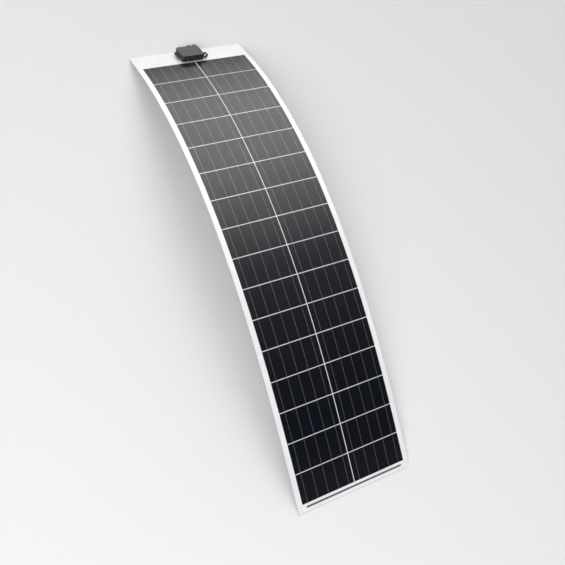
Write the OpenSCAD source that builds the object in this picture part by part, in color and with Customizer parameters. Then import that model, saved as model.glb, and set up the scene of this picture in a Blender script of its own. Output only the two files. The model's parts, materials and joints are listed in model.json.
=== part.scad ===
// Flexible solar sheet: a laminate of half-cut cells that bends along its length, with a junction box.
// X runs across the sheet, +Y towards the junction box, Z up. Both ends rest on Z = 0, arched over it.
// The laminate is a flat head and rigid curved segments of two rows each, hinged at mid-thickness.

/* [Sheet] */
// Width of the laminate
sheet_w = 344; // [330:1:400]
// Flat head that carries the junction box, from the end edge to the first hinge line
head_len = 64.6; // [62:0.2:100]
// Plain laminate past the last row of cells, measured from that row's pitch line
tail_len = 19.6; // [14:0.2:60]
// Radius of bend beside the junction box
bend_r_head = 932; // [600:1:3000]
// Radius of bend at the free end
bend_r_tail = 5040; // [1000:10:9000]
// Clearance between two segments at a hinge line
hinge_gap = 0.6; // [0.4:0.1:1.5]

/* [Cells] */
// Width of one half cell
cell_w = 156.75; // [120:0.25:165]
// Length of one half cell
cell_l = 78.4; // [60:0.2:82]
// Distance from one row to the next
row_pitch = 80.3; // [80:0.1:90]
// Gap between the two columns
column_gap = 2; // [1:0.5:6]
// Tabbing ribbons on each cell
ribbon_count = 5; // [2:1:9]
// Width of one tabbing ribbon
ribbon_w = 1; // [0.6:0.1:2]
// Width of the bus ribbons that join the strings
bus_w = 5; // [3:0.5:8]

/* [Layers] */
// Thickness of the glass-fibre backsheet
backsheet_t = 1.2; // [0.8:0.1:2]
// Thickness of the rear encapsulant
rear_encapsulant_t = 0.4; // [0.3:0.05:0.6]
// Thickness of a cell
cell_t = 0.2; // [0.15:0.01:0.25]
// Thickness of a ribbon
ribbon_t = 0.15; // [0.1:0.01:0.2]
// Thickness of the front encapsulant, which also holds the cells and ribbons
front_encapsulant_t = 0.65; // [0.6:0.05:1]
// Thickness of the clear front film
film_t = 0.25; // [0.1:0.05:0.5]

/* [Junction box] */
// Width of the box across the sheet
box_w = 68; // [60:1:90]
// Depth of the box along the sheet
box_d = 55; // [50:1:56]
// Height of the tub
base_h = 11.5; // [10:0.5:16]
// Height of the lid above the tub
lid_h = 5.5; // [4:0.5:8]
// Wall of the tub and the lid
wall = 2; // [1.6:0.1:3]
// Distance of the box from the middle of the sheet, positive to the right
box_x = -3; // [-40:1:40]
// Distance from the first hinge line to the front of the box
box_y = 3; // [2:0.5:8]
// Radius of the box's corners
box_r = 8; // [4:0.5:9]
// Radius of the bore for a cable
cable_r = 3; // [2.5:0.1:3.5]
// Distance between the two cable outlets
outlet_pitch = 16; // [15:0.5:30]

/* [Hidden] */
$fn = 64;
segments = 8;
middle = segments / 2;
arc_steps = 12;
deg = 180 / PI;
seg_len = 2 * row_pitch;
columns = [-1, 1];
rows = [0, 1];
cut = 0.1;

sheet_t = backsheet_t + rear_encapsulant_t + front_encapsulant_t + film_t;
h_back = -sheet_t / 2;
h_rear = h_back + backsheet_t;
h_cell = h_rear + rear_encapsulant_t;
h_ribbon = h_cell + cell_t;
h_film = h_cell + front_encapsulant_t;
h_top = h_film + film_t;
cell_inset = (row_pitch - cell_l) / 2;
ribbon_pitch = cell_w / ribbon_count;
ribbon_places = [
    for (side = columns, n = [0:ribbon_count - 1])
        side * (column_gap / 2 + ribbon_pitch * (n + 0.5))
];
cells_reach = column_gap / 2 + cell_w;
bus_reach = cells_reach - ribbon_pitch / 3;

// Heights of the box above the middle of the laminate
pad_t = 0.8;
pad_top = h_top + pad_t;
base_top = pad_top + base_h;
box_top_h = base_top + lid_h;
box_mid = [box_x, box_y + box_d / 2];
seal_groove = 0.5;
// Edge of the lid's top, drawn in and down by this much
lid_step = 1;
front_ribs = 7;
rib_pitch = 7.2;
rib_w = 2.4;
rib_out = 1.1;
rib_margin = 0.8;
// The ribs stop this far short of the joint between the tub and the lid
rib_gap = 0.3;
rib_shift = 2.5;
rib_first = rib_shift - rib_pitch * (front_ribs - 1) / 2;
// Side lugs of the tub: size, and how far behind the tub's front and above its floor each starts
lug_size = [9, 8, 6.5];
lug_in = 2;
lug_places = [21, 37];
lug_h = 2.5;
lug_mid = box_w / 2 - lug_in + lug_size[0] / 2;
// Hoods of the lid over the cable outlets
hood_r = 6.5;
hood_out = 5;
outlet_h = pad_top + 6.3;
outlet_right = box_x + 25;
outlet_len = 13;
outlet_r = 4.6;
outlet_flange_r = 4.9;
outlet_flange_t = 2.2;
outlet_x = [outlet_right - outlet_pitch, outlet_right];
outlet_y = box_y + box_d;
seal_t = 0.9;
seal_len = 4;
ring_r = 7.2;
ring_bore = 4.6;
ring_len = 7;
ring_y = box_y + 15;
ring_lift = 0.4;
// The slot in the head and the tub's floor, and the ribbons that come up through it
slot_w = 26;
slot_d = 6;
slot_y = box_y + 9;
bus_y = 4.4;
lead_x = 8;
lead_t = 0.3;
rail_t = 1;
rail_size = [12, 22];
rail_pitch = 17;
rail_z = pad_top + wall;
rail_y = slot_y + 7;
lead_overlap = 4;
diode_size = [9, 11, 3];
diode_y = rail_y + 8;

// Curvature falls in equal steps from the head to the free end
function kappa(i) = 1 / bend_r_head + (1 / bend_r_tail - 1 / bend_r_head) * (i - 1) / (segments - 1);
function layer_end(i) = i == segments ? seg_len + tail_len : seg_len - hinge_gap / 2;
// Downhill angle at hinge line j, before the sheet is laid down; the middle one is level
function tilt_at(j) =
    j == middle ? 0
    : j > middle ? tilt_at(j - 1) + kappa(j) * seg_len * deg
    : tilt_at(j + 1) - kappa(j + 1) * seg_len * deg;
// The point [y, z] reached after a length d along curvature k, from point p at angle t
function advance(p, t, k, d) =
    p + [sin(t) - sin(t + k * d * deg), cos(t + k * d * deg) - cos(t)] / k;
function point_at(j) =
    j == middle ? [0, 0]
    : j > middle ? advance(point_at(j - 1), tilt_at(j - 1), kappa(j), seg_len)
    : advance(point_at(j + 1), tilt_at(j + 1), kappa(j + 1), -seg_len);
function lift(p, t, h) = p + h * [-sin(t), cos(t)];
function turned(p, a) = [p[0] * cos(a) - p[1] * sin(a), p[0] * sin(a) + p[1] * cos(a)];

head_tilt = tilt_at(0);
tail_tilt = tilt_at(segments) + kappa(segments) * tail_len * deg;
head_end = point_at(0) + head_len * [cos(head_tilt), sin(head_tilt)];
tail_end = advance(point_at(segments), tilt_at(segments), kappa(segments), tail_len);
rear_head = lift(head_end, head_tilt, h_back);
rear_tail = lift(tail_end, tail_tilt, h_back);
// Turn that lays both rear end edges on one level
lay_angle = -atan2(rear_head[1] - rear_tail[1], rear_head[0] - rear_tail[0]);
floor_z = turned(rear_tail, lay_angle)[1];
front_head = turned(lift(head_end, head_tilt, box_top_h), lay_angle)[0];
front_tail = turned(lift(tail_end, tail_tilt, h_top), lay_angle)[0];
centre_y = (front_head + front_tail) / 2;

// Puts the sheet's own frame on the floor
module laid() {
    translate([0, -centre_y, -floor_z]) rotate([lay_angle, 0, 0]) children();
}

// The head's frame: the origin is on the first hinge line, +Y runs to the end edge, Z is the sheet's normal
module on_head() {
    laid() translate([0, point_at(0)[0], point_at(0)[1]]) rotate([head_tilt, 0, 0]) children();
}

// Sweeps a section, drawn as [height, width], along segment i from a0 to a1 past its first hinge line
module on_arc(i, a0, a1) {
    r = 1 / kappa(i);
    turn = (a1 - a0) / r * deg;
    centre = lift(point_at(i - 1), tilt_at(i - 1), -r);
    translate([0, centre[0], centre[1]])
        rotate([90, 0, 90])
            rotate([0, 0, 90 + tilt_at(i - 1) + a0 / r * deg])
                rotate_extrude(angle = turn, $fn = ceil(arc_steps * 360 / turn))
                    translate([r, 0]) children();
}

// Part of a section: heights h0 to h1 and widths u0 to u1
module band(h0, h1, u0, u1) {
    translate([h0, u0]) square([h1 - h0, u1 - u0]);
}

module strip(i, h0, h1, u0, u1, a0, a1) {
    on_arc(i, a0, a1) band(h0, h1, u0, u1);
}

// A whole layer of segment i, clear of its neighbours at both hinge lines
module layer(i, h0, h1) {
    strip(i, h0, h1, -sheet_w / 2, sheet_w / 2, hinge_gap / 2, layer_end(i));
}

module cell_strips(i, h0, h1) {
    for (side = columns, row = rows) {
        u0 = side < 0 ? -column_gap / 2 - cell_w : column_gap / 2;
        a0 = row * row_pitch + cell_inset;
        strip(i, h0, h1, u0, u0 + cell_w, a0, a0 + cell_l);
    }
}

// Ribbons run the length of both rows, stopping short of the hinge lines
module ribbon_strips(i, h0, h1) {
    for (u = ribbon_places)
        strip(i, h0, h1, u - ribbon_w / 2, u + ribbon_w / 2, cell_inset, seg_len - cell_inset);
}

module cross_strip(h0, h1) {
    mid = seg_len + tail_len / 2 - 1;
    strip(segments, h0, h1, -bus_reach, bus_reach, mid - bus_w / 2, mid + bus_w / 2);
}

module backsheet(i) {
    color("white") laid() layer(i, h_back, h_rear);
}

module encapsulant(i) {
    color("gainsboro", 0.5) laid() on_arc(i, hinge_gap / 2, layer_end(i)) difference() {
        band(h_rear, h_film, -sheet_w / 2, sheet_w / 2);
        band(h_cell, h_ribbon, -cells_reach, cells_reach);
        for (u = ribbon_places) band(h_cell, h_ribbon + ribbon_t, u - ribbon_w / 2, u + ribbon_w / 2);
    }
}

module cells(i) {
    color("midnightblue") laid() cell_strips(i, h_cell, h_ribbon);
}

module tabbing_ribbons(i) {
    color("silver") laid() ribbon_strips(i, h_ribbon, h_ribbon + ribbon_t);
}

module front_film(i) {
    color("aliceblue", 0.4) laid() layer(i, h_film, h_top);
}

module cross_ribbon_tail() {
    color("silver") laid() cross_strip(h_cell, h_cell + ribbon_t);
}

// A flat layer of the head
module head_layer(h0, h1) {
    translate([-sheet_w / 2, hinge_gap / 2, h0]) cube([sheet_w, head_len - hinge_gap / 2, h1 - h0]);
}

// The opening under the box that the lead-out ribbons come up through
module head_slot(h0, h1) {
    translate([box_x - slot_w / 2, slot_y - slot_d / 2, h0]) cube([slot_w, slot_d, h1 - h0]);
}

// Two bus ribbons meet short of the middle, each with a leg to the slot
module bus_shapes(h0, h1) {
    for (side = columns) {
        inner = box_x + side * (lead_x - bus_w / 2);
        outer = side * bus_reach;
        translate([min(inner, outer), bus_y - bus_w / 2, h0]) cube([abs(outer - inner), bus_w, h1 - h0]);
        translate([box_x + side * lead_x - bus_w / 2, bus_y, h0])
            cube([bus_w, slot_y - bus_y + 1, h1 - h0]);
    }
}

module backsheet_head() {
    color("white") on_head() head_layer(h_back, h_rear);
}

module encapsulant_head() {
    color("gainsboro", 0.5) on_head() {
        head_layer(h_rear, h_cell);
        difference() {
            head_layer(h_cell, h_film);
            bus_shapes(h_cell - cut, h_cell + ribbon_t);
            head_slot(h_cell - cut, h_film + cut);
        }
    }
}

module front_film_head() {
    color("aliceblue", 0.4) on_head() difference() {
        head_layer(h_film, h_top);
        head_slot(h_film - cut, h_top + cut);
    }
}

module bus_ribbons_head() {
    color("silver") on_head() bus_shapes(h_cell, h_cell + ribbon_t);
}

// The ribbons stand up through the slot and fold over onto the rails
module lead_out_ribbons() {
    foot = h_cell + ribbon_t;
    rail_top = rail_z + rail_t;
    color("silver") on_head()
        for (side = columns) translate([box_x + side * lead_x - bus_w / 2, slot_y, 0]) {
            translate([0, -lead_t, foot]) cube([bus_w, lead_t, rail_top + lead_t - foot]);
            translate([0, -lead_t / 2, rail_top]) cube([bus_w, rail_y - slot_y + lead_overlap, lead_t]);
        }
}

// The box's outline with rounded corners, drawn in by inset
module outline(inset) {
    r = max(box_r - inset, 1);
    w = box_w - 2 * inset;
    d = box_d - 2 * inset;
    translate(box_mid) {
        square([w - 2 * r, d], center = true);
        square([w, d - 2 * r], center = true);
        for (sx = columns, sy = columns) translate([sx * (w / 2 - r), sy * (d / 2 - r)]) circle(r);
    }
}

module slab(inset, z0, z1) {
    translate([0, 0, z0]) linear_extrude(z1 - z0) outline(inset);
}

// Puts its children at both cable outlets, with +Z along the cable as it leaves
module at_outlets() {
    for (x = outlet_x) translate([x, outlet_y - wall, outlet_h]) rotate([-90, 0, 0]) children();
}

module adhesive_pad() {
    color("dimgray") on_head() difference() {
        slab(wall, h_top, pad_top);
        head_slot(h_top - 1, pad_top + 1);
    }
}

// The ring that the gasket fills, on the tub's rim
module seal_ring(z0, z1) {
    difference() {
        slab(wall / 4, z0, z1);
        slab(3 * wall / 4, z0 - 1, z1 + 1);
    }
}

// Upright ribs on the box's front wall
module rib_row(z0, z1) {
    for (n = [0:front_ribs - 1])
        translate([box_x + rib_first + n * rib_pitch - rib_w / 2, box_y - rib_out, z0])
            cube([rib_w, rib_out + wall / 2, z1 - z0]);
}

module box_base() {
    color([0.07, 0.07, 0.08]) on_head() difference() {
        union() {
            slab(0, pad_top, base_top);
            rib_row(pad_top + rib_margin, base_top - rib_gap);
            for (side = columns, y = lug_places)
                translate([box_x + side * lug_mid - lug_size[0] / 2, box_y + y, pad_top + lug_h])
                    cube(lug_size);
        }
        slab(wall, pad_top + wall, base_top + 1);
        head_slot(pad_top - 1, pad_top + wall + 1);
        seal_ring(base_top - seal_groove, base_top + 1);
        at_outlets() translate([0, 0, -1]) cylinder(r = outlet_r, h = wall + 2);
    }
}

module box_gasket() {
    color([0.25, 0.25, 0.26]) on_head() seal_ring(base_top - seal_groove, base_top);
}

module box_lid() {
    color([0.16, 0.16, 0.17]) on_head() difference() {
        union() {
            slab(0, base_top, box_top_h - lid_step);
            slab(lid_step, box_top_h - lid_step, box_top_h);
            rib_row(base_top + rib_gap, box_top_h - lid_step);
            for (x = outlet_x) translate([x, outlet_y + hood_out - hood_r, base_top])
                cylinder(r = hood_r, h = lid_h);
        }
        slab(wall, base_top - 1, box_top_h - wall);
    }
}

// A stepped collar in the rear wall for each cable
module outlet_collars() {
    color([0.1, 0.1, 0.11]) on_head() at_outlets() difference() {
        union() {
            cylinder(r = outlet_r, h = outlet_len);
            translate([0, 0, wall]) cylinder(r = outlet_flange_r, h = outlet_flange_t);
        }
        translate([0, 0, -1]) cylinder(r = cable_r, h = outlet_len + 2);
        translate([0, 0, outlet_len - seal_len]) cylinder(r = cable_r + seal_t, h = seal_len + 1);
    }
}

// A soft seal in the mouth of each collar
module outlet_seals() {
    color([0.2, 0.2, 0.2]) on_head() at_outlets() translate([0, 0, outlet_len - seal_len]) difference() {
        cylinder(r = cable_r + seal_t, h = seal_len);
        translate([0, 0, -1]) cylinder(r = cable_r, h = seal_len + 2);
    }
}

// A ring with a square foot against the box, which holds a cable led forwards
module cable_guide_ring() {
    color([0.07, 0.07, 0.08]) on_head()
        translate([box_x + box_w / 2 + ring_r, ring_y, h_top + ring_r + ring_lift])
            rotate([90, 0, 0]) difference() {
                union() {
                    cylinder(r = ring_r, h = ring_len);
                    translate([-ring_r, -ring_r, 0]) cube([ring_r, ring_r, ring_len]);
                }
                translate([0, 0, -1]) cylinder(r = ring_bore, h = ring_len + 2);
            }
}

// Three contact rails on the tub's floor: minus, bridge and plus
module terminal_rails() {
    color("goldenrod") on_head() for (n = [-1:1])
        translate([box_x + n * rail_pitch - rail_size[0] / 2, rail_y, rail_z])
            cube([rail_size[0], rail_size[1], rail_t]);
}

// Each diode bridges two rails
module bypass_diodes() {
    color([0.05, 0.05, 0.05]) on_head() for (side = columns)
        translate([box_x + side * rail_pitch / 2 - diode_size[0] / 2, diode_y, rail_z + rail_t])
            cube(diode_size);
}

for (i = [1:segments]) backsheet(i);
for (i = [1:segments]) encapsulant(i);
for (i = [1:segments]) cells(i);
for (i = [1:segments]) tabbing_ribbons(i);
for (i = [1:segments]) front_film(i);
backsheet_head();
encapsulant_head();
front_film_head();
bus_ribbons_head();
cross_ribbon_tail();
lead_out_ribbons();
adhesive_pad();
box_base();
box_gasket();
box_lid();
outlet_collars();
outlet_seals();
cable_guide_ring();
terminal_rails();
bypass_diodes();
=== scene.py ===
"""Flexible solar sheet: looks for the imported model. Metres, in the model's own frame."""
import json
import math
import random

import bmesh
import bpy
from mathutils import Matrix, Vector


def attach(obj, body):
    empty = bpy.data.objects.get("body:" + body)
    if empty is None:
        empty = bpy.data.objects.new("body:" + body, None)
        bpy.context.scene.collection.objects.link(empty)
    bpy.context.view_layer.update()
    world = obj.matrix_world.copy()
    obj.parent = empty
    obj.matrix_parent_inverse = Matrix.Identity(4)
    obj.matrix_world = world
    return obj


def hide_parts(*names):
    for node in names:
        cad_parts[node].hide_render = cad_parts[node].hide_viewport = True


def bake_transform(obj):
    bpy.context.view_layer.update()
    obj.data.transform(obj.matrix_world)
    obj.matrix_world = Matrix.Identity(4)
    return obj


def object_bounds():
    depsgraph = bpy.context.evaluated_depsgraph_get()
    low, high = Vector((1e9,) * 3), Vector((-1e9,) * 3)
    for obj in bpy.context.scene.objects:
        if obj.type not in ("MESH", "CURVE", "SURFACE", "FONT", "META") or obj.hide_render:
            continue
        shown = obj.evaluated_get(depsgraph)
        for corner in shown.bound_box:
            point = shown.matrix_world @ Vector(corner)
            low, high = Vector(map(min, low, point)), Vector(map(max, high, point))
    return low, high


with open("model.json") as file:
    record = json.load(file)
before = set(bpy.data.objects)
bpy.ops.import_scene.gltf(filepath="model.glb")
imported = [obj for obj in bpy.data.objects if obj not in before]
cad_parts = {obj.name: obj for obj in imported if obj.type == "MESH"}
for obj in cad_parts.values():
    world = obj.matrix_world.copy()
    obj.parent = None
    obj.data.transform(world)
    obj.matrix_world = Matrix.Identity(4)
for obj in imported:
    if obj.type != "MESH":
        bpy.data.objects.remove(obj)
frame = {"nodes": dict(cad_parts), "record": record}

cad_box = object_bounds()
MM = 0.001

# ---------------------------------------------------------------- driving dimensions, metres
SHEET_W = 344 * MM
HEAD_LEN = 64.6 * MM
TAIL_LEN = 19.6 * MM
BEND_R_HEAD = 932 * MM
BEND_R_TAIL = 5040 * MM
SEGMENTS = 8
CELL_W = 156.75 * MM
CELL_L = 78.4 * MM
ROW_PITCH = 80.3 * MM
COLUMN_GAP = 2 * MM
RIBBONS = 5
RIBBON_W = 1.0 * MM
RIBBON_T = 0.15 * MM
BUS_W = 5 * MM

# Lengths that follow from them
SEG_LEN = 2 * ROW_PITCH
CELL_INSET = (ROW_PITCH - CELL_L) / 2
RIBBON_PITCH = CELL_W / RIBBONS
BUS_REACH = COLUMN_GAP / 2 + CELL_W - RIBBON_PITCH / 3

# Heights above the middle of the laminate
H_BACK = -1.25 * MM
H_CELL = 0.35 * MM
H_RIBBON = 0.55 * MM
H_RIBBON_TOP = H_RIBBON + RIBBON_T
H_FILM = 0.78 * MM
H_TOP = 1.25 * MM
# Gap that keeps a buried face clear of the layer above it
SKIN = 0.02 * MM
# The head's bus ribbons end this far below the cells' level, under the white
MASK_T = 0.04 * MM

# The pressed edge all round the sheet, the step down from it to the cells' level, and the slack
# that makes the edge's own points count as part of it
EDGE_SEAL = 2.5 * MM
EDGE_STEP = 0.4 * MM
EDGE_SLACK = 0.1 * MM

# The head's bus ribbons lie BUS_Y beyond the first hinge line and start BUS_GAP from the box's middle.
# The cross ribbon lies CROSS_SHIFT short of the middle of the tail's margin.
BUS_Y = 4.4 * MM
BUS_GAP = 5.5 * MM
CROSS_SHIFT = 1 * MM

# Junction box, in the head's own frame: x across, y from the first hinge line to the end edge, z up
BOX_X = -3 * MM
BOX_Y = 3 * MM
BOX_W = 68 * MM
BOX_D = 55 * MM
BOX_R = 8 * MM
BOX_WALL = 2 * MM
PAD_TOP = 2.05 * MM
BASE_TOP = 13.55 * MM
LID_TOP = 19.05 * MM
LID_GAP = 0.05 * MM
SEAL_GROOVE = 0.5 * MM
# The grey of the lid's top reaches this far down, on faces that point this much up or down
GREY_DEPTH = 1.2 * MM
GREY_FACING = 0.8
# The front ribs start RIB_FOOT above the pad, end RIB_HEAD below the lid's top, and leave RIB_GAP
# on both sides of the seam between tub and lid
RIBS = 7
RIB_PITCH = 7.2 * MM
RIB_W = 2.4 * MM
RIB_OUT = 1.1 * MM
RIB_SHIFT = 2.5 * MM
RIB_GAP = 0.3 * MM
RIB_FOOT = 0.8 * MM
RIB_HEAD = 1.0 * MM
RIB_ROUND = 0.35 * MM
# The side lugs reach across, back and up by LUG_SIZE, from LUG_PLACES behind the front wall
LUG_SIZE = (9 * MM, 8 * MM, 6.5 * MM)
LUG_PLACES = (21 * MM, 37 * MM)
LUG_H = 2.5 * MM
LUG_OUT = 2.5 * MM
LUG_ROUND = 1.2 * MM
OUTLETS = (6 * MM, 22 * MM)
OUTLET_R = 4.6 * MM
OUTLET_H = PAD_TOP + 6.3 * MM
HOOD_R = 6.5 * MM
HOOD_OUT = 5 * MM
HOOD_ROUND = 0.9 * MM

# How finely curves are divided
STATION = 5 * MM
CELL_PARTS = 4
CORNER_STEPS = 8
POST_SIDES = 32
BORE_SIDES = 48
SMOOTH_ANGLE = math.radians(35)

random.seed(11)

# ---------------------------------------------------------------- the curve of the sheet
JOINTS = {j["name"]: j for j in frame["record"]["behaviour"]["joints"]}
HEAD_NORMAL = Vector(JOINTS["lid_lift"]["axis"]).normalized()
FIRST_HINGE = Vector(JOINTS["bend_head"]["pos_m"])
HEAD_FRAME = Matrix((
    (1, 0, 0, FIRST_HINGE.x),
    (0, HEAD_NORMAL.z, HEAD_NORMAL.y, FIRST_HINGE.y),
    (0, -HEAD_NORMAL.y, HEAD_NORMAL.z, FIRST_HINGE.z),
    (0, 0, 0, 1)))


def curvature(i):
    """Curvature of segment i, 1 to SEGMENTS: it falls in equal steps from the head to the free end."""
    share = (i - 1) / (SEGMENTS - 1)
    return 1 / BEND_R_HEAD + (1 / BEND_R_TAIL - 1 / BEND_R_HEAD) * share


def walk(y, z, tilt, k, length):
    """The point and downhill angle after a length along curvature k, going towards the free end."""
    end = tilt + k * length
    return y - (math.sin(end) - math.sin(tilt)) / k, z + (math.cos(end) - math.cos(tilt)) / k, end


def hinge_states():
    """(y, z, downhill angle) at every hinge line, the first beside the head."""
    y, z = FIRST_HINGE.y, FIRST_HINGE.z
    tilt = -math.atan2(HEAD_NORMAL.y, HEAD_NORMAL.z)
    found = [(y, z, tilt)]
    for i in range(1, SEGMENTS + 1):
        y, z, tilt = walk(y, z, tilt, curvature(i), SEG_LEN)
        found.append((y, z, tilt))
    return found


HINGES = hinge_states()


def spot(u, s, h=0.0):
    """A point of the sheet: u across, s from the first hinge line to the free end, h above the middle."""
    if s <= 0:
        y, z, tilt = HINGES[0]
        y, z = y - s * math.cos(tilt), z - s * math.sin(tilt)
    else:
        i = min(int(s / SEG_LEN) + 1, SEGMENTS)
        y, z, tilt = HINGES[i - 1]
        y, z, tilt = walk(y, z, tilt, curvature(i), s - (i - 1) * SEG_LEN)
    return Vector((u, y - h * math.sin(tilt), z + h * math.cos(tilt)))


def stations(s0, s1):
    """Evenly spaced places along the sheet, ends included."""
    n = max(1, round((s1 - s0) / STATION))
    return [s0 + (s1 - s0) * k / n for k in range(n + 1)]


# ---------------------------------------------------------------- mesh helpers
def new_piece(name, bm):
    """An object made of the mesh, smooth but for its sharp edges."""
    mesh = bpy.data.meshes.new(name)
    bmesh.ops.recalc_face_normals(bm, faces=bm.faces[:])
    bm.to_mesh(mesh)
    bm.free()
    mesh.polygons.foreach_set("use_smooth", [True] * len(mesh.polygons))
    mesh.set_sharp_from_angle(angle=SMOOTH_ANGLE)
    piece = bpy.data.objects.new(name, mesh)
    bpy.context.scene.collection.objects.link(piece)
    return piece


class Sheets:
    """Collects closed slabs that lie along the sheet, with their place and tint kept on each point."""

    def __init__(self):
        self.bm = bmesh.new()
        self.place = self.bm.verts.layers.float_vector.new("sheet")
        self.tint = self.bm.verts.layers.float.new("tint")

    def slab(self, us, ss, low, high, tint=0.0):
        """A closed slab over the grid us x ss; low and high are heights, or functions of (u, s)."""
        def level(h, u, s):
            return h(u, s) if callable(h) else h

        def grid(h):
            rows = []
            for s in ss:
                row = []
                for u in us:
                    v = self.bm.verts.new(spot(u, s, level(h, u, s)))
                    v[self.place] = (u, s, level(h, u, s))
                    v[self.tint] = tint
                    row.append(v)
                rows.append(row)
            return rows

        top, bottom = grid(high), grid(low)
        for a in range(len(ss) - 1):
            for b in range(len(us) - 1):
                self.bm.faces.new((top[a][b], top[a][b + 1], top[a + 1][b + 1], top[a + 1][b]))
                self.bm.faces.new((bottom[a][b], bottom[a + 1][b], bottom[a + 1][b + 1], bottom[a][b + 1]))
        for a in range(len(ss) - 1):
            for b in (0, -1):
                self.bm.faces.new((top[a][b], top[a + 1][b], bottom[a + 1][b], bottom[a][b]))
        for b in range(len(us) - 1):
            for a in (0, -1):
                self.bm.faces.new((top[a][b], top[a][b + 1], bottom[a][b + 1], bottom[a][b]))

    def piece(self, name):
        """The collected slabs as one object."""
        return new_piece(name, self.bm)


def rounded(inset, z):
    """Points of the box's outline at height z, drawn in by inset, in the head's frame."""
    r = BOX_R - inset
    hx, hy = BOX_W / 2 - inset - r, BOX_D / 2 - inset - r
    cx, cy = BOX_X, BOX_Y + BOX_D / 2
    points = []
    for q, (sx, sy) in enumerate(((1, 1), (-1, 1), (-1, -1), (1, -1))):
        for k in range(CORNER_STEPS + 1):
            a = math.radians(90 * (q + k / CORNER_STEPS))
            points.append(Vector((cx + sx * hx + r * math.cos(a), cy + sy * hy + r * math.sin(a), z)))
    return points


def loft(bm, rings):
    """Skins rings of equal length, and closes the first and the last with a face."""
    made = [[bm.verts.new(p) for p in ring] for ring in rings]
    for low, high in zip(made, made[1:]):
        for k in range(len(low)):
            n = (k + 1) % len(low)
            bm.faces.new((low[k], low[n], high[n], high[k]))
    bm.faces.new(made[0][::-1])
    bm.faces.new(made[-1])


def block(bm, low, high, round_off):
    """A box between two corners, with its edges rounded off."""
    lo, hi = Vector(low), Vector(high)
    made = bmesh.ops.create_cube(bm, size=1.0)
    for v in made["verts"]:
        v.co = Vector([lo[k] + (v.co[k] + 0.5) * (hi[k] - lo[k]) for k in range(3)])
    edges = list({e for v in made["verts"] for e in v.link_edges})
    bmesh.ops.bevel(bm, geom=edges, offset=round_off, segments=2, profile=0.5, affect="EDGES")


def front_ribs(bm, low, high):
    """Upright ribs on the front wall, from one height to another."""
    for n in range(RIBS):
        x = BOX_X + RIB_SHIFT + (n - (RIBS - 1) / 2) * RIB_PITCH
        near, far = BOX_Y - RIB_OUT, BOX_Y + BOX_WALL / 2
        block(bm, (x - RIB_W / 2, near, low), (x + RIB_W / 2, far, high), RIB_ROUND)


def paint_rib_highlights(piece, slot):
    """Paints a highlight on the front ribs: gives their outer faces the lighter material in another slot."""
    to_head = HEAD_FRAME.inverted()
    for face in piece.data.polygons:
        if (to_head @ face.center).y < BOX_Y - RIB_OUT / 2:
            face.material_index = slot


def round_post(bm, middle, radius, low, high, round_off):
    """An upright round post with its top edge rounded off."""
    shoulder = 0.3 * round_off
    turn = [math.tau * k / POST_SIDES for k in range(POST_SIDES)]
    rings = []
    for inset, z in ((0, low), (0, high - round_off), (shoulder, high - shoulder), (round_off, high)):
        r = radius - inset
        rings.append([Vector((middle[0] + r * math.cos(a), middle[1] + r * math.sin(a), z)) for a in turn])
    loft(bm, rings)


def bore(piece, middle, radius, length):
    """Cuts a round hole through a piece, along the head's own Y."""
    bm = bmesh.new()
    bmesh.ops.create_cone(
        bm, cap_ends=True, segments=BORE_SIDES, radius1=radius, radius2=radius, depth=length)
    turn = Vector((0, 1, 0)).to_track_quat("Z", "Y").to_matrix().to_4x4()
    bmesh.ops.transform(bm, matrix=HEAD_FRAME @ Matrix.Translation(middle) @ turn, verts=bm.verts[:])
    cutter = new_piece("cutter", bm)
    cut = piece.modifiers.new("bore", "BOOLEAN")
    cut.operation = "DIFFERENCE"
    cut.solver = "EXACT"
    cut.use_self = True
    cut.object = cutter
    with bpy.context.temp_override(object=piece, active_object=piece):
        bpy.ops.object.modifier_apply(modifier="bore")
    bpy.data.objects.remove(cutter)


def on_head(bm, name):
    """A piece drawn in the head's frame, put in its place."""
    bmesh.ops.transform(bm, matrix=HEAD_FRAME, verts=bm.verts[:])
    return new_piece(name, bm)


# ---------------------------------------------------------------- materials
def material(name, color, roughness, **sockets):
    """A material with a Principled shader; returns it with its nodes, links and shader."""
    m = bpy.data.materials.new(name)
    m.use_nodes = True
    nodes, links = m.node_tree.nodes, m.node_tree.links
    shader = nodes["Principled BSDF"]
    shader.inputs["Base Color"].default_value = (*color, 1)
    shader.inputs["Roughness"].default_value = roughness
    for key, value in sockets.items():
        shader.inputs[key.replace("_", " ")].default_value = value
    m.diffuse_color = (*color, 1)
    return m, nodes, links, shader


def attribute(nodes, name):
    """A node that reads a value kept on the mesh's points."""
    node = nodes.new("ShaderNodeAttribute")
    node.attribute_name = name
    return node


def noise(nodes, links, vector, scale, detail, rough=0.5):
    """A noise texture; returns its value."""
    node = nodes.new("ShaderNodeTexNoise")
    node.inputs["Scale"].default_value = scale
    node.inputs["Detail"].default_value = detail
    node.inputs["Roughness"].default_value = rough
    links.new(vector, node.inputs["Vector"])
    return node.outputs["Fac"]


def calc(nodes, links, operation, a, b=None):
    """A Math node on sockets or numbers; returns its output."""
    node = nodes.new("ShaderNodeMath")
    node.operation = operation
    for socket, value in zip(node.inputs, (a, b)):
        if value is None:
            continue
        if isinstance(value, (int, float)):
            socket.default_value = value
        else:
            links.new(value, socket)
    return node.outputs[0]


def ramp(nodes, links, factor, *stops):
    """A colour ramp; stops are (position, grey or colour)."""
    node = nodes.new("ShaderNodeValToRGB")
    elements = node.color_ramp.elements
    while len(elements) < len(stops):
        elements.new(0.5)
    for element, (position, value) in zip(elements, stops):
        element.position = position
        grey = isinstance(value, (int, float))
        element.color = (value, value, value, 1) if grey else (*value, 1)
    links.new(factor, node.inputs["Fac"])
    return node.outputs["Color"]


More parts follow.
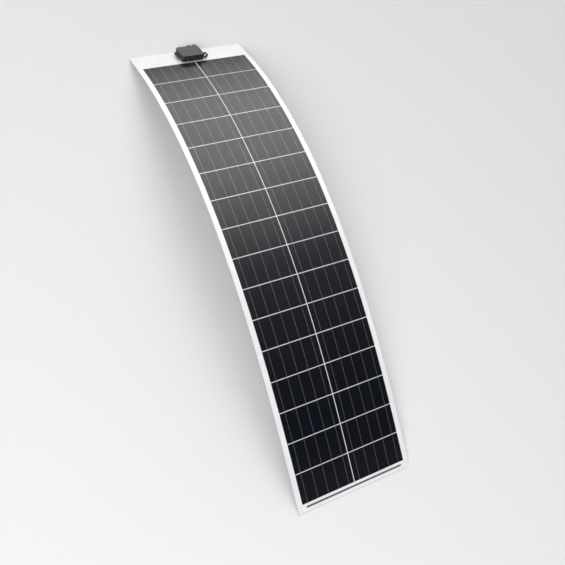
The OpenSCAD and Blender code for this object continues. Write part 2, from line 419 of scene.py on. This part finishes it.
def mix(nodes, links, factor, a, b, blend="MIX"):
    """Mixes colours; factor, a and b are sockets or values."""
    node = nodes.new("ShaderNodeMix")
    node.data_type = "RGBA"
    node.blend_type = blend
    for socket, value in ((node.inputs[0], factor), (node.inputs[6], a), (node.inputs[7], b)):
        if isinstance(value, (int, float)):
            socket.default_value = value
        elif isinstance(value, tuple):
            socket.default_value = (*value, 1)
        else:
            links.new(value, socket)
    return node.outputs[2]


def bump(nodes, links, shader, height, distance, strength):
    """Fine relief on the shader's surface."""
    node = nodes.new("ShaderNodeBump")
    node.inputs["Strength"].default_value = strength
    node.inputs["Distance"].default_value = distance
    links.new(height, node.inputs["Height"])
    links.new(node.outputs["Normal"], shader.inputs["Normal"])


FILM_IOR = 1.40
FILM_ROUGHNESS = 0.06
FINGER_PITCH = 1.5 * MM
FINGER_W = 0.09 * MM


def laminate_material():
    """The white backsheet, seen through the film: a faint weave and slow changes of tone."""
    m, nodes, links, shader = material(
        "white_laminate", (0.92, 0.925, 0.93), 0.45,
        Coat_Weight=1.0, Coat_Roughness=FILM_ROUGHNESS, Coat_IOR=FILM_IOR)
    place = attribute(nodes, "sheet").outputs["Vector"]
    weave = noise(nodes, links, place, 420, 2.0)
    cloud = noise(nodes, links, place, 16, 4.0)
    fine = ramp(nodes, links, weave, (0.3, (0.83, 0.835, 0.84)), (0.7, (0.88, 0.885, 0.89)))
    soft = ramp(nodes, links, cloud, (0.35, (0.94, 0.945, 0.95)), (0.65, (1.0, 1.0, 1.0)))
    links.new(mix(nodes, links, 1.0, fine, soft, "MULTIPLY"), shader.inputs["Base Color"])
    bump(nodes, links, shader, weave, 0.12 * MM, 0.35)
    return m


def cell_material():
    """Blue-black silicon with fine contact fingers across each cell, and a slight tint of its own."""
    m, nodes, links, shader = material(
        "silicon_cell", (0.0016, 0.0026, 0.0052), 0.4, Specular_IOR_Level=0.12,
        Coat_Weight=1.0, Coat_Roughness=FILM_ROUGHNESS, Coat_IOR=FILM_IOR)
    place = attribute(nodes, "sheet").outputs["Vector"]
    tint = attribute(nodes, "tint").outputs["Fac"]
    split = nodes.new("ShaderNodeSeparateXYZ")
    links.new(place, split.inputs[0])
    base = ramp(nodes, links, tint,
                (0.0, (0.0006, 0.0014, 0.0048)),
                (0.5, (0.0009, 0.0018, 0.0052)),
                (1.0, (0.0018, 0.0025, 0.0056)))
    cloud = noise(nodes, links, place, 34, 5.0, 0.6)
    mottle = ramp(nodes, links, cloud, (0.3, 0.78), (0.7, 1.22))
    silicon = mix(nodes, links, 1.0, base, mottle, "MULTIPLY")
    finger = calc(nodes, links, "FRACT", calc(nodes, links, "DIVIDE", split.outputs["Y"], FINGER_PITCH))
    line = calc(nodes, links, "LESS_THAN", finger, FINGER_W / FINGER_PITCH)
    color = mix(nodes, links, calc(nodes, links, "MULTIPLY", line, 0.25), silicon, (0.07, 0.075, 0.085))
    links.new(color, shader.inputs["Base Color"])
    return m


def ribbon_material():
    """Tinned copper, dulled by the film over it, with streaks along and across."""
    m, nodes, links, shader = material(
        "tinned_ribbon", (0.18, 0.185, 0.20), 0.42, Metallic=0.35,
        Coat_Weight=1.0, Coat_Roughness=FILM_ROUGHNESS, Coat_IOR=FILM_IOR)
    place = attribute(nodes, "sheet").outputs["Vector"]
    streak = noise(nodes, links, place, 190, 4.0, 0.65)
    color = ramp(nodes, links, streak, (0.3, (0.10, 0.105, 0.115)), (0.7, (0.18, 0.185, 0.20)))
    links.new(color, shader.inputs["Base Color"])
    links.new(ramp(nodes, links, streak, (0.3, 0.46), (0.7, 0.30)), shader.inputs["Roughness"])
    return m


def film_material():
    """The clear front film: nearly all light passes, and a fine pebble shows where it catches light."""
    m, nodes, links, shader = material("clear_film", (0.008, 0.009, 0.012), 0.3, IOR=FILM_IOR, Alpha=0.05)
    place = attribute(nodes, "sheet").outputs["Vector"]
    pebble = noise(nodes, links, place, 900, 1.0)
    bump(nodes, links, shader, pebble, 0.05 * MM, 0.4)
    return m


def plastic_material(name, dark, light, roughness, grain=0.04 * MM, scale=2600):
    """Moulded plastic: fine spark-eroded grain, soft mottling, and a slightly worn sheen."""
    m, nodes, links, shader = material(name, light, roughness)
    where = nodes.new("ShaderNodeTexCoord").outputs["Object"]
    fine = noise(nodes, links, where, scale, 2.0)
    cloud = noise(nodes, links, where, 90, 4.0)
    links.new(ramp(nodes, links, cloud, (0.35, dark), (0.65, light)), shader.inputs["Base Color"])
    sheen = ramp(nodes, links, cloud, (0.3, roughness - 0.06), (0.7, roughness + 0.06))
    links.new(sheen, shader.inputs["Roughness"])
    bump(nodes, links, shader, fine, grain, 0.6)
    return m


def metal_material(name, dark, light, roughness):
    """Bare metal with fine streaks."""
    m, nodes, links, shader = material(name, light, roughness, Metallic=1.0)
    where = nodes.new("ShaderNodeTexCoord").outputs["Object"]
    streak = noise(nodes, links, where, 600, 4.0, 0.7)
    links.new(ramp(nodes, links, streak, (0.3, dark), (0.7, light)), shader.inputs["Base Color"])
    bump(nodes, links, shader, streak, 0.04 * MM, 0.3)
    return m


LAMINATE = laminate_material()
CELL = cell_material()
RIBBON = ribbon_material()
FILM = film_material()
BOX_PLASTIC = plastic_material("box_plastic", (0.008, 0.008, 0.009), (0.013, 0.013, 0.014), 0.26)
LID_PLASTIC = plastic_material("lid_plastic", (0.030, 0.030, 0.032), (0.042, 0.042, 0.044), 0.46)
RUBBER = plastic_material("gasket_rubber", (0.030, 0.030, 0.031), (0.05, 0.05, 0.05), 0.8, 0.06 * MM, 1500)
ADHESIVE = plastic_material("adhesive", (0.09, 0.09, 0.09), (0.13, 0.13, 0.13), 0.85, 0.1 * MM, 800)
DIODE = plastic_material("diode_plastic", (0.014, 0.014, 0.015), (0.022, 0.022, 0.023), 0.5)
CONTACT = metal_material("contact_metal", (0.62, 0.47, 0.22), (0.76, 0.61, 0.33), 0.3)
LEAD_OUT = metal_material("lead_out_metal", (0.5, 0.51, 0.52), (0.66, 0.67, 0.68), 0.35)


def finish_piece(piece, mat, nodes_for):
    """Gives a piece its material, and hides the CAD nodes it stands for."""
    piece.data.materials.append(mat)
    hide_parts(*nodes_for)


# ---------------------------------------------------------------- the laminate, eight pieces to a layer
HALF_W = SHEET_W / 2
EDGE_US = [0, EDGE_SEAL, EDGE_SEAL + EDGE_STEP]
ACROSS = [-HALF_W + e for e in EDGE_US] + [0.0] + [HALF_W - e for e in reversed(EDGE_US)]


def span(j):
    """Where piece j of a layer starts and ends: halfway along the segments on both sides of hinge line j."""
    start = -HEAD_LEN if j == 0 else (j - 0.5) * SEG_LEN
    end = SEGMENTS * SEG_LEN + TAIL_LEN if j == SEGMENTS - 1 else (j + 0.5) * SEG_LEN
    return start, end


def bend_with(piece):
    """Bakes the piece's placement into its mesh."""
    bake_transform(piece)


def rim(u, s):
    """Height of the white body's top: up to the film along the pressed edge, elsewhere under the cells."""
    reach = EDGE_SEAL + EDGE_SLACK
    on_side = abs(u) > HALF_W - reach
    on_end = s < -HEAD_LEN + reach or s > SEGMENTS * SEG_LEN + TAIL_LEN - reach
    return (H_FILM if on_side or on_end else H_CELL) - SKIN


def with_ends(ss, j):
    """Adds the stations of the pressed edge at the sheet's two ends."""
    if j == 0:
        ss = [ss[0], ss[0] + EDGE_SEAL, ss[0] + EDGE_SEAL + EDGE_STEP] + ss[1:]
    if j == SEGMENTS - 1:
        ss = ss[:-1] + [ss[-1] - EDGE_SEAL - EDGE_STEP, ss[-1] - EDGE_SEAL, ss[-1]]
    return ss


def rows_in(j):
    """Where the rows of cells in piece j start: one row in the first piece, three in the last, else two."""
    first = 0 if j == 0 else 2 * j - 1
    last = 2 * SEGMENTS if j == SEGMENTS - 1 else 2 * j + 1
    return [n * ROW_PITCH for n in range(first, last)]


def stands_for(layer, j):
    """The CAD nodes of a layer that piece j stands for."""
    return [f"{layer}_{j + 1}"] + ([f"{layer}_head"] if j == 0 and layer != "cells" else [])


def make_laminate(j):
    """The white body of the sheet: backsheet and encapsulant, with the pressed edge."""
    sheets = Sheets()
    s0, s1 = span(j)
    sheets.slab(ACROSS, with_ends(stations(s0, s1), j), H_BACK, rim)
    piece = sheets.piece(f"laminate_{j + 1}")
    nodes_for = stands_for("backsheet", j) + stands_for("encapsulant", j)
    finish_piece(piece, LAMINATE, nodes_for)
    bend_with(piece)


def make_cells(j):
    """The rows of half cells in piece j, each with a tint of its own."""
    sheets = Sheets()
    for start in rows_in(j):
        for side in (-1, 1):
            near, far = side * COLUMN_GAP / 2, side * (COLUMN_GAP / 2 + CELL_W)
            us = [min(near, far) + CELL_W * k / CELL_PARTS for k in range(CELL_PARTS + 1)]
            ss = stations(start + CELL_INSET, start + CELL_INSET + CELL_L)
            sheets.slab(us, ss, H_CELL, H_RIBBON, random.random())
    piece = sheets.piece(f"cells_row_{j + 1}")
    finish_piece(piece, CELL, stands_for("cells", j))
    bend_with(piece)


def make_ribbons(j):
    """The tabbing ribbons of piece j, and the bus or cross ribbons at the sheet's two ends."""
    sheets = Sheets()
    starts = rows_in(j)
    ss = stations(starts[0] + CELL_INSET, starts[-1] + CELL_INSET + CELL_L)
    for side in (-1, 1):
        for n in range(RIBBONS):
            u = side * (COLUMN_GAP / 2 + RIBBON_PITCH * (n + 0.5))
            sheets.slab([u - RIBBON_W / 2, u + RIBBON_W / 2], ss, H_RIBBON, H_RIBBON_TOP)
    nodes_for = [f"tabbing_ribbons_{j + 1}"]
    if j == 0:
        top = H_CELL - MASK_T
        for side in (-1, 1):
            us = sorted((BOX_X + side * BUS_GAP, side * BUS_REACH))
            sheets.slab(us, stations(-BUS_Y - BUS_W / 2, -BUS_Y + BUS_W / 2), top - RIBBON_T, top)
        nodes_for.append("bus_ribbons_head")
    if j == SEGMENTS - 1:
        mid = SEGMENTS * SEG_LEN + TAIL_LEN / 2 - CROSS_SHIFT
        us = [-BUS_REACH, 0, BUS_REACH]
        sheets.slab(us, stations(mid - BUS_W / 2, mid + BUS_W / 2), H_CELL, H_CELL + RIBBON_T)
        nodes_for.append("cross_ribbon_tail")
    piece = sheets.piece(f"ribbons_{j + 1}")
    finish_piece(piece, RIBBON, nodes_for)
    bend_with(piece)


def make_film(j):
    """The clear front film over piece j."""
    sheets = Sheets()
    s0, s1 = span(j)
    sheets.slab([-HALF_W, 0, HALF_W], stations(s0, s1), H_FILM, H_TOP)
    piece = sheets.piece(f"film_{j + 1}")
    finish_piece(piece, FILM, stands_for("front_film", j))
    bend_with(piece)


for hinge in range(SEGMENTS):
    make_laminate(hinge)
    make_cells(hinge)
    make_ribbons(hinge)
    make_film(hinge)


# ---------------------------------------------------------------- the junction box
def make_tub():
    """The tub: a shell with an open top, a gasket groove, front ribs, side lugs and cable outlets."""
    bm = bmesh.new()
    loft(bm, [
        rounded(1.4 * MM, PAD_TOP),
        rounded(0.7 * MM, PAD_TOP + 0.3 * MM),
        rounded(0.3 * MM, PAD_TOP + 1.2 * MM),
        rounded(0.0, PAD_TOP + 3.0 * MM),
        rounded(0.0, BASE_TOP - 0.3 * MM),
        rounded(0.2 * MM, BASE_TOP),
        rounded(SEAL_GROOVE, BASE_TOP),
        rounded(SEAL_GROOVE, BASE_TOP - SEAL_GROOVE),
        rounded(BOX_WALL - SEAL_GROOVE, BASE_TOP - SEAL_GROOVE),
        rounded(BOX_WALL - SEAL_GROOVE, BASE_TOP),
        rounded(BOX_WALL, BASE_TOP),
        rounded(BOX_WALL + 0.3 * MM, PAD_TOP + BOX_WALL),
    ])
    front_ribs(bm, PAD_TOP + RIB_FOOT, BASE_TOP - RIB_GAP)
    for side in (-1, 1):
        for behind in LUG_PLACES:
            middle = BOX_X + side * (BOX_W / 2 + LUG_OUT)
            low = Vector((middle - LUG_SIZE[0] / 2, BOX_Y + behind, PAD_TOP + LUG_H))
            block(bm, low, low + Vector(LUG_SIZE), LUG_ROUND)
    piece = on_head(bm, "box_tub")
    for x in OUTLETS:
        bore(piece, (x, BOX_Y + BOX_D, OUTLET_H), OUTLET_R, 3 * BOX_WALL)
    finish_piece(piece, BOX_PLASTIC, ["box_base"])
    piece.data.materials.append(LID_PLASTIC)
    # The outer faces of the tub's ribs get the lid's lighter grey as a painted highlight.
    paint_rib_highlights(piece, 1)
    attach(piece, "head")


def make_lid():
    """The lid: a dark skirt with ribs and two hoods, and a grey top with a raised border round its panel."""
    bm = bmesh.new()
    loft(bm, [
        rounded(BOX_WALL, LID_TOP - BOX_WALL),
        rounded(BOX_WALL, BASE_TOP + LID_GAP),
        rounded(0.3 * MM, BASE_TOP + LID_GAP),
        rounded(0.0, BASE_TOP + 0.35 * MM),
        rounded(0.1 * MM, LID_TOP - 0.9 * MM),
        rounded(0.3 * MM, LID_TOP - 0.35 * MM),
        rounded(0.65 * MM, LID_TOP - 0.05 * MM),
        rounded(1.0 * MM, LID_TOP),
        rounded(2.4 * MM, LID_TOP),
        rounded(2.6 * MM, LID_TOP - 0.1 * MM),
        rounded(2.8 * MM, LID_TOP - 0.35 * MM),
        rounded(3.1 * MM, LID_TOP - 0.4 * MM),
    ])
    front_ribs(bm, BASE_TOP + RIB_GAP, LID_TOP - RIB_HEAD)
    for x in OUTLETS:
        middle = (x, BOX_Y + BOX_D + HOOD_OUT - HOOD_R)
        round_post(bm, middle, HOOD_R, BASE_TOP + LID_GAP, LID_TOP, HOOD_ROUND)
    for face in bm.faces:
        face.normal_update()
        on_top = face.calc_center_median().z > LID_TOP - GREY_DEPTH and abs(face.normal.z) > GREY_FACING
        face.material_index = 0 if on_top else 1
    piece = on_head(bm, "box_lid_shell")
    finish_piece(piece, LID_PLASTIC, ["box_lid"])
    piece.data.materials.append(BOX_PLASTIC)
    # The outer faces of the lid's ribs get the lighter grey as a painted highlight.
    paint_rib_highlights(piece, 0)
    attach(piece, "lid")


def paint_cad_nodes():
    """The CAD's own pieces keep their shape and get a moulded or metal finish."""
    finishes = {
        "adhesive_pad": ADHESIVE,
        "box_gasket": RUBBER,
        "outlet_collars": BOX_PLASTIC,
        "outlet_seals": RUBBER,
        "cable_guide_ring": BOX_PLASTIC,
        "terminal_rails": CONTACT,
        "bypass_diodes": DIODE,
        "lead_out_ribbons": LEAD_OUT}
    for name, mat in finishes.items():
        node = frame["nodes"][name]
        for place in node.material_slots:
            place.material = mat


make_tub()
make_lid()
paint_cad_nodes()


# ---------------------------------------------------------------- floor, lights and camera
FLOOR_SIZE = 9.0
LIGHT_AIM = Vector((0, 0, 0.1))
KEY_TOWARDS = (-0.60, -0.45, 0.66)
KEY_DISTANCE = 6.0
KEY_SIZE = (4.0, 4.0)
KEY_RADIANCE = 6.2
SKY_TOWARDS = Vector((0.302, 0.679, 0.669)).normalized()
SKY_RADIANCE = 4.6
# Share of the sky's brightness by the cosine of the angle from its brightest point
SKY_FADE = (
    (0.12, 0.045), (0.185, 0.030), (0.25, 0.005), (0.32, 0.006), (0.50, 0.030), (0.67, 0.075),
    (0.76, 0.13), (0.84, 0.37), (0.91, 0.60), (0.965, 0.88), (1.0, 1.0))
# The camera's lens, place and directions, fitted to the photo's view
CAMERA_LENS = 47.472
CAMERA_SENSOR = 36
CAMERA_PLACE = Vector((-0.84810, -0.44886, 1.82237))
CAMERA_AHEAD = Vector((0.42299, 0.17760, -0.88856))
CAMERA_UP = Vector((0.25736, 0.91668, 0.30573))


def make_floor():
    """A plain pale floor under the object."""
    bm = bmesh.new()
    bmesh.ops.create_grid(bm, x_segments=1, y_segments=1, size=FLOOR_SIZE)
    floor = new_piece("floor", bm)
    floor.location.z = cad_box[0].z
    floor.data.materials.append(material("floor", (0.60, 0.60, 0.605), 0.9, Specular_IOR_Level=0.1)[0])


def softbox(name, towards, distance, size, radiance):
    """An area light that seems this bright, placed in a direction from the point it lights."""
    light = bpy.data.lights.new(name, "AREA")
    light.shape = "RECTANGLE"
    light.size, light.size_y = size
    light.energy = radiance * math.pi * size[0] * size[1]
    lamp = bpy.data.objects.new(name, light)
    direction = Vector(towards).normalized()
    lamp.location = LIGHT_AIM + direction * distance
    lamp.rotation_euler = direction.to_track_quat("Z", "Y").to_euler()
    bpy.context.scene.collection.objects.link(lamp)


def make_world():
    """A broad, soft sky light high up beyond the head, which leaves a faint glow elsewhere."""
    world = bpy.data.worlds.new("studio")
    bpy.context.scene.world = world
    world.use_nodes = True
    nodes, links = world.node_tree.nodes, world.node_tree.links
    sky = nodes["Background"]
    towards = nodes.new("ShaderNodeVectorMath")
    towards.operation = "DOT_PRODUCT"
    towards.inputs[1].default_value = SKY_TOWARDS
    links.new(nodes.new("ShaderNodeTexCoord").outputs["Generated"], towards.inputs[0])
    glow = ramp(nodes, links, towards.outputs["Value"], *SKY_FADE)
    seen = nodes.new("ShaderNodeLightPath").outputs["Is Camera Ray"]
    links.new(mix(nodes, links, seen, glow, (0.2, 0.2, 0.2)), sky.inputs["Color"])
    sky.inputs["Strength"].default_value = SKY_RADIANCE


def make_lights():
    """One soft key light high on the left, towards the free end, and the sky."""
    softbox("key", KEY_TOWARDS, KEY_DISTANCE, KEY_SIZE, KEY_RADIANCE)
    make_world()


def make_camera():
    """The camera, which looks down from the left and from nearer the free end."""
    data = bpy.data.cameras.new("camera")
    data.lens = CAMERA_LENS
    data.sensor_width = CAMERA_SENSOR
    camera = bpy.data.objects.new("camera", data)
    turn = Matrix((CAMERA_AHEAD.cross(CAMERA_UP), CAMERA_UP, -CAMERA_AHEAD)).transposed()
    camera.matrix_world = Matrix.Translation(CAMERA_PLACE) @ turn.to_4x4()
    bpy.context.scene.collection.objects.link(camera)
    bpy.context.scene.camera = camera


make_floor()
make_lights()
make_camera()
bpy.context.scene.view_settings.view_transform = "Standard"
